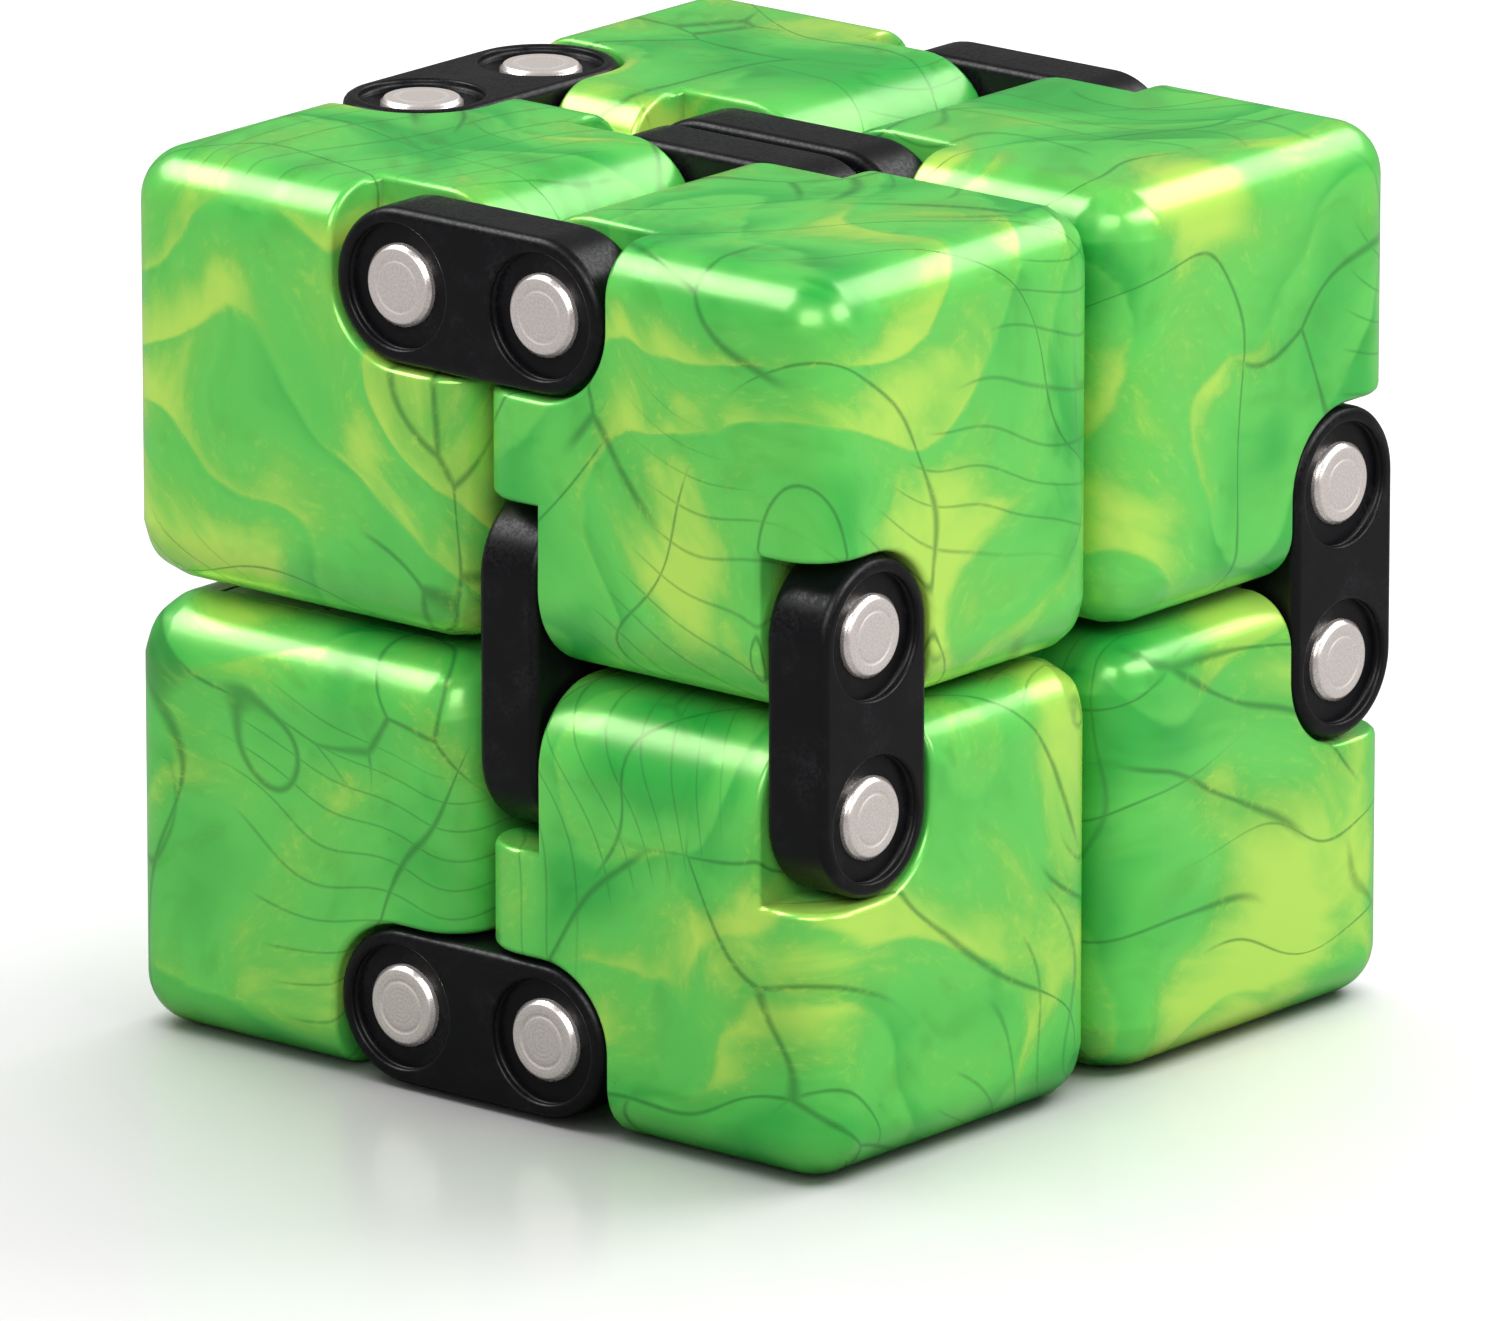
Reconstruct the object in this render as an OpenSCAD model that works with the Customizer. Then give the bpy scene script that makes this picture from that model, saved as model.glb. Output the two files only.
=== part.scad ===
// Infinity cube: eight hollow cubelets in a closed ring, joined by eight double-pin hinges.
// The origin is at the middle of the closed cube's underside, with Z up. X runs to the right
// along the front face and Y runs to the back.

/* [Cube] */
// Width of the closed cube, outside to outside
cube_w = 40; // [38:1:60]
// Gap between neighbouring cubelets
gap = 0.6; // [0.4:0.1:1]
// Radius of the cubelet edges that have no hinge
edge_r = 2.4; // [1.6:0.1:2.8]
// Clearance between two plain edges where neighbouring cubelets roll past each other
roll_fit = 0.03; // [0.02:0.01:0.1]

/* [Cubelet shell] */
// Thickness of the wall opposite the lid
roof = 2.4; // [1.6:0.1:3]
// Thickness of the wall between a hinge pocket and the hollow inside
pocket_wall = 1.6; // [1:0.1:2]
// Thickness of the plastic around a pin bore
boss_wall = 1.3; // [1:0.1:1.6]

/* [Lid] */
// Thickness of a lid
lid_t = 1.6; // [1.2:0.1:2]
// Clearance between a lid and its seat
lid_fit = 0.05; // [0.05:0.05:0.15]
// Width of the ledge in the shell that a lid sits on
lid_ledge = 0.6; // [0.4:0.1:1]
// Height of the locating rim under a lid
lid_rim_h = 1.8; // [1:0.1:2.4]
// Thickness of the locating rim
lid_rim_t = 1; // [0.8:0.1:1.4]

/* [Hinge pins] */
// Distance of a pin from the two faces that meet at its hinge edge
pin_inset = 3.75; // [3.5:0.05:4]
// Diameter of a pin
pin_d = 3.7; // [3:0.1:4]
// Clearance all round a pin in a cubelet's bore
pin_fit = 0.05; // [0.03:0.01:0.1]
// Depth of a pin's ends below the cubelet faces
pin_sink = 0.2; // [0.1:0.05:0.5]
// Chamfer on the pin ends
pin_chamfer = 0.3; // [0.1:0.05:0.5]

/* [Link plates] */
// Radius of the round ends of a link plate
link_r = 3.5; // [3.2:0.05:3.6]
// Thickness of a link plate
link_t = 3.3; // [2.5:0.1:3.4]
// Depth of a plate's outer face below the cubelet faces
link_sink = 0.1; // [0.05:0.05:0.4]
// Clearance all round a plate in its pockets
link_fit = 0.2; // [0.1:0.05:0.3]
// Diameter of the shallow recess round each pin end
recess_d = 5.6; // [5:0.1:6]
// Depth of that recess
recess_h = 0.5; // [0.3:0.1:0.8]

/* [Hidden] */
$fn = 64;
over = 1;                                     // overshoot of every cutting solid

half = (cube_w - gap) / 4;                    // half the width of one cubelet
pitch = (cube_w + gap) / 4;                   // from the cube's middle planes to a cubelet's centre
pin_at = half - pin_inset;                    // pin axis from the cubelet's centre, both ways
pin_gap = gap / 2 + pin_inset;                // pin axis from the plane between two cubelets
pin_out = cube_w / 2 - pin_inset;             // pin axis from the cube's centre, outwards
pocket_r = link_r + link_fit;
pocket_h = link_sink + link_t + link_fit;
// radius of the plain edge that follows a hinge's fold: it must stay inside the fold's turn
roll_r = (sqrt(2) * pin_inset - pin_gap + roll_fit) / (sqrt(2) - 1);
lid_half = half - roll_r;                     // half the width of a lid's seat
block_from = pin_at - pocket_r - pocket_wall; // where the solid plastic round a pocket starts
boss_from = pin_at - pin_d / 2 - pin_fit - boss_wall;

green = "#5fc85a";
dark = "#26272b";
steel = "#c9c6c2";

// Name of a cubelet, and which way it lies from the cube's centre
CUBELETS = [
    ["top_front_left", [-1, -1, 1]],
    ["top_front_right", [1, -1, 1]],
    ["top_back_right", [1, 1, 1]],
    ["top_back_left", [-1, 1, 1]],
    ["bottom_front_left", [-1, -1, -1]],
    ["bottom_front_right", [1, -1, -1]],
    ["bottom_back_right", [1, 1, -1]],
    ["bottom_back_left", [-1, 1, -1]]
];

// Name of a hinge, its centre, the turn that lays it along its edge from the Y axis, the end
// of that axis that faces outwards, and the names of its two pins
LINKS = [
    ["top_front_link", [0, -pitch, pin_out], [0, 0, 0], -1, ["left", "right"]],
    ["top_back_link", [0, pitch, pin_out], [0, 0, 0], 1, ["left", "right"]],
    ["bottom_front_link", [0, -pitch, -pin_out], [0, 0, 0], -1, ["left", "right"]],
    ["bottom_back_link", [0, pitch, -pin_out], [0, 0, 0], 1, ["left", "right"]],
    ["front_right_link", [pitch, -pin_out, 0], [-90, -90, 0], 1, ["lower", "upper"]],
    ["back_right_link", [pitch, pin_out, 0], [-90, -90, 0], 1, ["lower", "upper"]],
    ["upper_left_link", [-pin_out, 0, pitch], [90, 0, 90], 1, ["front", "back"]],
    ["lower_left_link", [-pin_out, 0, -pitch], [90, 0, 90], -1, ["front", "back"]]
];

// Moves what is drawn for the top front left cubelet, about its own centre, to cubelet "at".
// The cubelets on the right are the left ones turned onto their other hinge.
module on_cubelet(at) {
    translate([0, 0, cube_w / 2])
        mirror([0, at[1] > 0 ? 1 : 0, 0])
            mirror([0, 0, at[2] < 0 ? 1 : 0])
                translate([at[0] * pitch, -pitch, pitch])
                    if (at[0] > 0) mirror([1, 0, 0]) rotate([90, 90, 0]) children();
                    else children();
}

// Moves what is drawn for a hinge along the Y axis, about its own centre, to hinge "link"
module on_link(link) {
    translate([0, 0, cube_w / 2]) translate(link[1]) rotate(link[2]) children();
}

// Draws for each of a cubelet's two hinge edges: the children see an edge along Y, with the
// faces of +X and +Z meeting at it
module at_hinge_edges() {
    children();
    rotate([90, 0, 180]) children();
}

// A bar along Y of the cubelet's width and length, with a rounded square section. Its +X +Z
// edge has its own radius.
module rounded_bar(corner_r) {
    corners = [[-1, -1, edge_r], [1, -1, edge_r], [1, 1, corner_r], [-1, 1, edge_r]];
    rotate([90, 0, 0]) linear_extrude(2 * half, center = true) {
        difference() {
            square(2 * half, center = true);
            for (c = corners)
                translate([c[0], c[1]] * half) square(2 * c[2], center = true);
        }
        for (c = corners) translate([c[0], c[1]] * (half - c[2])) circle(c[2]);
    }
}

// The outside of a cubelet: both hinge edges are round about their pins, and the edge that
// rolls on a neighbour without a hinge is nearly as round
module cubelet_form() {
    intersection() {
        rounded_bar(pin_inset);
        rotate([90, 0, 180]) rounded_bar(pin_inset);
        rotate([0, 180, 90]) rounded_bar(roll_r);
    }
}

// The pockets for the two plates of one hinge, with the sweep of the plates as they turn
module link_pockets() {
    reach = pin_inset + over;
    for (end = [-1, 1])
        translate([pin_at, end * (half + (over - pocket_h) / 2), pin_at])
            rotate([90, 0, 0]) linear_extrude(pocket_h + over, center = true) {
                circle(pocket_r);
                translate([-pocket_r, 0]) square([pocket_r + reach, reach]);
                translate([0, -pocket_r]) square([reach, pocket_r + reach]);
            }
}

module pin_bore() {
    translate([pin_at, 0, pin_at]) rotate([90, 0, 0])
        cylinder(d = pin_d + 2 * pin_fit, h = 2 * half, center = true);
}

// The solid plastic that a hinge keeps inside the shell: a bar round the pin, and a block
// round each pocket
module hinge_block() {
    far = half + over;
    translate([boss_from, -far, boss_from]) cube([far - boss_from, 2 * far, far - boss_from]);
    for (end = [-1, 1]) {
        inner = half - pocket_h - pocket_wall;
        translate([block_from, end > 0 ? inner : -far, block_from])
            cube([far - block_from, far - inner, far - block_from]);
    }
}

// The hollow inside a shell, open through the lid's seat
module hollow() {
    width = 2 * (lid_half - lid_ledge);
    difference() {
        translate([-width / 2, -width / 2, -half - over])
            cube([width, width, 2 * half + over - roof]);
        at_hinge_edges() hinge_block();
    }
}

// The outline of the lid, smaller all round by "inset". It leaves the corner free where the
// link pocket comes through the same face.
module lid_outline(inset) {
    side = lid_half - inset;
    step = -block_from + inset;
    translate([-side, -side]) square([2 * side, side - step]);
    translate([step, -side]) square([side - step, 2 * side]);
}

module cubelet_shell() {
    color(green) difference() {
        cubelet_form();
        at_hinge_edges() {
            link_pockets();
            pin_bore();
        }
        hollow();
        translate([0, 0, -half - over]) linear_extrude(lid_t + over) lid_outline(0);
    }
}

module cubelet_lid() {
    rim = lid_ledge + lid_fit;
    color(green) translate([0, 0, -half]) {
        linear_extrude(lid_t) lid_outline(lid_fit);
        translate([0, 0, lid_t]) linear_extrude(lid_rim_h) difference() {
            lid_outline(rim);
            lid_outline(rim + lid_rim_t);
        }
    }
}

// One plate of a hinge, at its "end" of the hinge's axis
module link_plate(end) {
    face = half - link_sink;
    color(dark) rotate([end > 0 ? 90 : -90, 0, 0]) mirror([0, 0, 1]) difference() {
        translate([0, 0, face - link_t]) linear_extrude(link_t) {
            square([2 * pin_gap, 2 * link_r], center = true);
            for (side = [-1, 1]) translate([side * pin_gap, 0]) circle(link_r);
        }
        for (side = [-1, 1]) translate([side * pin_gap, 0, 0]) {
            cylinder(d = pin_d, h = half + over);
            translate([0, 0, face - recess_h]) cylinder(d = recess_d, h = recess_h + over);
        }
    }
}

module link_pin(side) {
    length = 2 * (half - pin_sink);
    color(steel) translate([side * pin_gap, 0, 0]) rotate([90, 0, 0]) {
        cylinder(d = pin_d, h = length - 2 * pin_chamfer, center = true);
        for (end = [0, 1]) mirror([0, 0, end])
            translate([0, 0, length / 2 - pin_chamfer])
                cylinder(d1 = pin_d, d2 = pin_d - 2 * pin_chamfer, h = pin_chamfer);
    }
}

for (c = CUBELETS) {
    on_cubelet(c[1]) cubelet_shell();
    on_cubelet(c[1]) cubelet_lid();
}
for (l = LINKS) {
    on_link(l) link_plate(l[3]);
    on_link(l) link_plate(-l[3]);
    for (i = [0, 1])
        on_link(l) link_pin(2 * i - 1);
}
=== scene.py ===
import math

import bmesh
import bpy
from bpy.props import FloatProperty, FloatVectorProperty, IntProperty, PointerProperty
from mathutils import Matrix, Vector


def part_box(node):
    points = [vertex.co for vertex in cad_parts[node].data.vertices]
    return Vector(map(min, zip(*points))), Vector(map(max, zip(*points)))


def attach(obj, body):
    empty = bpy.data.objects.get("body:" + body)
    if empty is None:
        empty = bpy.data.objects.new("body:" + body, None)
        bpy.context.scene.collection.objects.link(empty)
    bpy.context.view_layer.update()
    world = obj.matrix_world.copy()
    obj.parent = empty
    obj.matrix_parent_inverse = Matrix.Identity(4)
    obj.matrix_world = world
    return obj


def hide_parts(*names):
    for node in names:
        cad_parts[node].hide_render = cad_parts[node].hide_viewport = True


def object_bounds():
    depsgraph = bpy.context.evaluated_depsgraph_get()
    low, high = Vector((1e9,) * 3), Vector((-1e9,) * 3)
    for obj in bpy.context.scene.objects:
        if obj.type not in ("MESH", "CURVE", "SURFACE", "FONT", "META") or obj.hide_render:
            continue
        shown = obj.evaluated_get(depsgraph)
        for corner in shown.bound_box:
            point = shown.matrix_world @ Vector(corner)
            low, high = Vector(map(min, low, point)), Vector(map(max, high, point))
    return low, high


bl_info = {
    "name": "Infinity cube",
    "version": (1, 0, 0),
    "blender": (4, 5, 0),
    "location": "View3D > Sidebar > Infinity cube",
    "description": "Gives a folding cube of hinged cubelets its marbled and turned finish",
    "category": "Object",
}

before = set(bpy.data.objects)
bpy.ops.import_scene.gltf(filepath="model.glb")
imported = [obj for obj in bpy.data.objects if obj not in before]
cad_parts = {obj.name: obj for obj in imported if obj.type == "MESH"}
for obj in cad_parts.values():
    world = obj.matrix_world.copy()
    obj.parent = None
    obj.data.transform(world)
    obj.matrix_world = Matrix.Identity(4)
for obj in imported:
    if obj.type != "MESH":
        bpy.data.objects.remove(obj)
CAD_BOX = [list(corner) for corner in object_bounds()]
MM = 0.001
WELD = 1e-6  # points closer than this are one
OVERSHOOT = 1 * MM  # how far a cutter reaches past what it cuts
BORE_CLEARANCE = 0.05 * MM
SHARP_EDGE = math.radians(40)  # edges that turn more than this are softened

CUBELETS = [name[: -len("_shell")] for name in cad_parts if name.endswith("_shell")]
LINKS = [name[: -len("_outer_plate")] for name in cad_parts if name.endswith("_outer_plate")]
PINS = [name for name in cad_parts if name.endswith("_pin")]


# ---------------------------------------------------------------- the frame's measures


def middle_and_size(node):
    """The middle of a CAD node's box, and its size along each axis."""
    low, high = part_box(node)
    return (low + high) / 2, high - low


def long_axis(size):
    return max(range(3), key=lambda axis: size[axis])


def short_axis(size):
    return min(range(3), key=lambda axis: size[axis])


def others(axis):
    """The two other axes, in turning order."""
    return [(1, 2), (2, 0), (0, 1)][axis]


def pins_of_link(link):
    return [pin for pin in PINS if pin.startswith(link + "_")]


class Cubelet:
    """Where one cubelet and its two hinges are, read from the boxes of the CAD nodes."""

    def __init__(self, name):
        self.name = name
        self.centre, size = middle_and_size(name + "_shell")
        self.half = size.x / 2
        self.pins = []
        for pin in PINS:
            at, extent = middle_and_size(pin)
            if (at - self.centre).length < 2 * self.half and all(
                abs(at[i] - self.centre[i]) < self.half for i in range(3)
            ):
                self.pins.append((long_axis(extent), at))
        cover, extent = middle_and_size(name + "_lid")
        away = cover - self.centre
        self.cover_axis = long_axis([abs(v) for v in away])
        self.cover_side = math.copysign(1, away[self.cover_axis])

    def side(self, pin, axis):
        """Which way a pin lies from the cubelet's middle along an axis: -1 or 1."""
        return math.copysign(1, pin[axis] - self.centre[axis])

    def rolling_edge(self):
        """The axis that the rolling edge lies along, and its side along each other axis."""
        (a, at_a), (b, at_b) = self.pins
        sides = [0, 0, 0]
        sides[a] = -self.side(at_b, a)
        sides[b] = -self.side(at_a, b)
        return 3 - a - b, sides


PLATE_MIDDLE, PLATE = middle_and_size(LINKS[0] + "_outer_plate")
_, PIN = middle_and_size(PINS[0])
PLATE_RADIUS = sorted(PLATE)[1] / 2
PLATE_THICKNESS = min(PLATE)
PIN_LENGTH = max(PIN)
PIN_RADIUS = min(PIN) / 2
FIRST = Cubelet(CUBELETS[0])
# a pin's middle is level with its cubelets' middles, so a plate's place shows how deep it sits
PINS_MIDDLE = sum((middle_and_size(pin)[0] for pin in pins_of_link(LINKS[0])), Vector()) / 2
PLATE_SINK = FIRST.half - PLATE_THICKNESS / 2 - max(abs(v) for v in PLATE_MIDDLE - PINS_MIDDLE)
HINGE_RADIUS = FIRST.half - max(
    abs(FIRST.pins[0][1][i] - FIRST.centre[i]) for i in range(3) if i != FIRST.pins[0][0]
)


# ---------------------------------------------------------------- settings


def length(name, description, default, low, high):
    return FloatProperty(
        name=name,
        description=description,
        default=default,
        min=low,
        max=high,
        unit="LENGTH",
        precision=5,
    )


def tint(name, description, default):
    return FloatVectorProperty(
        name=name, description=description, default=default, min=0, max=1, size=3, subtype="COLOR"
    )


def share(name, description, default):
    return FloatProperty(
        name=name, description=description, default=default, min=0, max=1, subtype="FACTOR"
    )


class CubeletSettings(bpy.types.PropertyGroup):
    """Sizes and colours of the marbled cubelets."""

    edge_radius: length(
        "Edge radius", "Radius of the cubelet edges that have no hinge", 2.4 * MM, 0.5 * MM, 3 * MM
    )
    rolling_radius: length(
        "Rolling radius",
        "Radius of the edge that rolls past a neighbour without a hinge",
        3.1 * MM,
        2.4 * MM,
        3.7 * MM,
    )
    pocket_gap: length(
        "Pocket gap",
        "Clearance between a link plate and its pocket",
        0.2 * MM,
        0.05 * MM,
        0.4 * MM,
    )
    rim_radius: length(
        "Rim radius",
        "Softening of the edges round the link pockets",
        0.32 * MM,
        0.05 * MM,
        0.5 * MM,
    )
    cover_rim: length(
        "Cover rim",
        "Softening of the edges round a cover and its seat",
        0.12 * MM,
        0.02 * MM,
        0.3 * MM,
    )
    cover_ledge: length(
        "Cover ledge", "Width of the ledge that a cover sits on", 0.6 * MM, 0.3 * MM, 1 * MM
    )
    cover_thickness: length(
        "Cover thickness", "Depth of the seat that takes the cover", 1.6 * MM, 1 * MM, 2 * MM
    )
    roof: length("Roof", "Thickness of the wall opposite the cover", 2.4 * MM, 1.5 * MM, 3 * MM)
    pocket_wall: length(
        "Pocket wall", "Plastic between a link pocket and the hollow", 1.6 * MM, 1 * MM, 2 * MM
    )
    boss_wall: length("Boss wall", "Plastic round a pin's bore", 1.3 * MM, 0.8 * MM, 2 * MM)
    steps: IntProperty(
        name="Steps", description="Faces across each rounded edge", default=12, min=4, max=24
    )
    deep: tint("Deep green", "Colour of the darkest currents", (0.016, 0.31, 0.042))
    body: tint("Green", "Main colour of the plastic", (0.068, 0.42, 0.064))
    light: tint("Light green", "Colour of the pale currents", (0.13, 0.50, 0.076))
    gleam: tint("Lime", "Colour where the pearl gathers", (0.39, 0.64, 0.092))
    vein: tint("Vein", "Colour of the fine lines", (0.004, 0.12, 0.02))
    swirl: length("Swirl size", "Width of one current in the marbling", 13 * MM, 4 * MM, 40 * MM)
    gloss: share("Gloss", "Strength of the clear gloss over the pearl", 0.22)


class LinkSettings(bpy.types.PropertyGroup):
    """Sizes and colours of the black link plates and the turned pins."""

    rim_radius: length(
        "Rim radius", "Roundness of a plate's outer edge", 0.42 * MM, 0.1 * MM, 0.5 * MM
    )
    lip_radius: length(
        "Lip radius", "Roundness of the lip round each pin", 0.15 * MM, 0.05 * MM, 0.2 * MM
    )
    recess_radius: length(
        "Recess radius", "Radius of the shallow recess round each pin", 2.8 * MM, 2.2 * MM, 3 * MM
    )
    recess_depth: length(
        "Recess depth", "Depth of the recess round each pin", 0.5 * MM, 0.2 * MM, 1 * MM
    )
    sides: IntProperty(
        name="Sides",
        description="Faces round a pin or a plate's two ends",
        default=64,
        min=24,
        max=96,
    )
    black: tint("Black", "Colour of the plates", (0.0025, 0.0025, 0.0032))
    chamfer: length("Chamfer", "Width of the pin's bright edge", 0.22 * MM, 0.05 * MM, 0.4 * MM)
    ring_depth: length(
        "Ring depth", "Depth of the turned ring in the pin's end", 0.05 * MM, 0, 0.1 * MM
    )
    nickel: tint("Nickel", "Colour of the pins", (0.86, 0.79, 0.75))


class StageSettings(bpy.types.PropertyGroup):
    """The camera, the floor and the lights."""

    azimuth: FloatProperty(
        name="Azimuth",
        description="Way the camera stands round the cube, from the front",
        default=math.radians(39.88),
        subtype="ANGLE",
    )
    elevation: FloatProperty(
        name="Elevation",
        description="How far the camera looks down",
        default=math.radians(15.74),
        subtype="ANGLE",
    )
    distance: length(
        "Distance", "From the camera to the middle of the cube", 763.6 * MM, 200 * MM, 2000 * MM
    )
    right: length("Right", "How far the camera is moved to its right", -0.551 * MM, -0.1, 0.1)
    up: length("Up", "How far the camera is moved up", -3.931 * MM, -0.1, 0.1)
    lens: FloatProperty(
        name="Lens",
        description="Focal length for a sensor 36 mm wide",
        default=415.3,
        min=50,
        max=1000,
        unit="CAMERA",
    )
    floor: tint("Floor", "Colour of the floor", (0.872, 0.852, 0.868))
    daylight: FloatProperty(
        name="Daylight",
        description="Strength of the even light all round",
        default=0.23,
        min=0,
        max=3,
    )


# ---------------------------------------------------------------- mesh helpers


def prism(bm, outline, axis, start, end):
    """A closed prism along an axis. The outline's points lie on the two other axes."""
    u, v = others(axis)
    rings = []
    for along in (start, end):
        ring = []
        for a, b in outline:
            point = [0, 0, 0]
            point[axis], point[u], point[v] = along, a, b
            ring.append(bm.verts.new(point))
        rings.append(ring)
    faces = [bm.faces.new(rings[0][::-1]), bm.faces.new(rings[1])]
    for i in range(len(outline)):
        j = (i + 1) % len(outline)
        faces.append(bm.faces.new((rings[0][i], rings[0][j], rings[1][j], rings[1][i])))
    bmesh.ops.recalc_face_normals(bm, faces=faces)


def block(bm, low, high):
    """A closed box between two corners, given in any order."""
    prism(
        bm,
        [(low[0], low[1]), (high[0], low[1]), (high[0], high[1]), (low[0], high[1])],
        2,
        low[2],
        high[2],
    )


def made_object(name, bm):
    mesh = bpy.data.meshes.new(name)
    bm.to_mesh(mesh)
    bm.free()
    made = bpy.data.objects.new(name, mesh)
    bpy.context.scene.collection.objects.link(made)
    return made


def bake(obj):
    """Turns an object with its modifiers into a plain mesh of the same name."""
    graph = bpy.context.evaluated_depsgraph_get()
    finished = bpy.data.meshes.new_from_object(obj.evaluated_get(graph))
    first = obj.data
    obj.modifiers.clear()
    obj.data = finished
    bpy.data.meshes.remove(first)
    finished.name = obj.name


def subtract(obj, cutters):
    """Adds a cut for each cutter. They must be baked before the cutters are removed."""
    for cutter in cutters:
        cut = obj.modifiers.new(cutter.name, "BOOLEAN")
        cut.operation = "DIFFERENCE"
        cut.solver = "EXACT"
        cut.object = cutter


def soften(obj, width, steps, miter="MITER_SHARP"):
    """Rounds the edges that have a bevel weight."""
    rounding = obj.modifiers.new("Soft edges", "BEVEL")
    rounding.limit_method = "WEIGHT"
    rounding.width = width
    rounding.segments = steps
    rounding.use_clamp_overlap = False
    rounding.miter_outer = miter


def level_shading(obj):
    """Keeps the flats flat in the shading beside softened edges."""
    level = obj.modifiers.new("Level shading", "WEIGHTED_NORMAL")
    level.keep_sharp = False
    level.weight = 100


def weights(bm):
    layer = bm.edges.layers.float.get("bevel_weight_edge")
    return layer or bm.edges.layers.float.new("bevel_weight_edge")


def is_sharp(edge):
    return len(edge.link_faces) == 2 and edge.calc_face_angle() > SHARP_EDGE


def smooth(obj):
    for face in obj.data.polygons:
        face.use_smooth = True


def remove(objects):
    for obj in objects:
        mesh = obj.data
        bpy.data.objects.remove(obj)
        bpy.data.meshes.remove(mesh)


# ---------------------------------------------------------------- node helpers


def node(tree, kind, sockets=None, label="", **settings):
    """Adds a node. Each socket takes a value, or another node's output."""
    made = tree.nodes.new(kind)
    made.label = label
    for key, value in settings.items():
        setattr(made, key, value)
    for key, value in (sockets or {}).items():
        if isinstance(value, bpy.types.NodeSocket):
            tree.links.new(value, made.inputs[key])
        else:
            made.inputs[key].default_value = value
    return made


def maths(tree, operation, *values, label="", clamp=False):
    sockets = dict(enumerate(values))
    return node(
        tree, "ShaderNodeMath", sockets, label, operation=operation, use_clamp=clamp
    ).outputs[0]


def times(tree, first, second, label=""):
    return maths(tree, "MULTIPLY", first, second, label=label)


def vectors(tree, operation, *values, scale=None, label=""):
    sockets = dict(enumerate(values))
    if scale is not None:
        sockets["Scale"] = scale
    made = node(tree, "ShaderNodeVectorMath", sockets, label, operation=operation)
    return made.outputs["Value" if operation == "LENGTH" else "Vector"]


def blend(tree, amount, first, second, kind="MIX", label=""):
    """A colour mix."""
    return node(
        tree,
        "ShaderNodeMix",
        {0: amount, 6: first, 7: second},
        label,
        data_type="RGBA",
        blend_type=kind,
    ).outputs[2]


def fade(tree, value, start, end, label="", low=0.0, high=1.0):
    """A smooth step from low to high as the value goes from start to end."""
    return node(
        tree,
        "ShaderNodeMapRange",
        {"Value": value, "From Min": start, "From Max": end, "To Min": low, "To Max": high},
        label,
        interpolation_type="SMOOTHSTEP",
    ).outputs["Result"]


def noise(tree, vector, scale, detail=0.0, roughness=0.5, distortion=0.0, label="", colour=False):
    made = node(
        tree,
        "ShaderNodeTexNoise",
        {
            "Vector": vector,
            "Scale": scale,
            "Detail": detail,
            "Roughness": roughness,
            "Distortion": distortion,
        },
        label,
    )
    return made.outputs["Color" if colour else "Fac"]


def new_group(name, kind, inputs, outputs):
    """A node group with named sockets, and its input node's outputs."""
    group = bpy.data.node_groups.new(name, kind)
    for title, socket, value in inputs:
        made = group.interface.new_socket(title, in_out="INPUT", socket_type=socket)
        if value is not None:
            made.default_value = value
    for title, socket in outputs:
        group.interface.new_socket(title, in_out="OUTPUT", socket_type=socket)
    return group, group.nodes.new("NodeGroupInput").outputs


def hand_out(group, values):
    out = group.nodes.new("NodeGroupOutput")
    for title, value in values.items():
        group.links.new(value, out.inputs[title])


# ---------------------------------------------------------------- finishes


def fine_grain_group():
    """The faint unevenness of a moulded or turned surface, used by every finish."""
    group, given = new_group(
        "Fine grain",
        "ShaderNodeTree",
        [
            ("Vector", "NodeSocketVector", None),
            ("Grain Size", "NodeSocketFloat", 0.3),
            ("Ripple Size", "NodeSocketFloat", 3.0),
            ("Ripple", "NodeSocketFloat", 0.5),
        ],
        [("Height", "NodeSocketFloat"), ("Mask", "NodeSocketFloat")],
    )
    grain = noise(
        group,
        given["Vector"],
        maths(group, "DIVIDE", 1.0, given["Grain Size"]),
        2.0,
        label="Grain",
    )
    ripple = noise(
        group,
        given["Vector"],
        maths(group, "DIVIDE", 1.0, given["Ripple Size"]),
        1.0,
        label="Ripple",
    )
    height = maths(
        group, "MULTIPLY_ADD", ripple, given["Ripple"], times(group, grain, 0.3)
    )
    hand_out(group, {"Height": height, "Mask": fade(group, grain, 0.35, 0.65, "Grain mask")})
    return group


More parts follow.
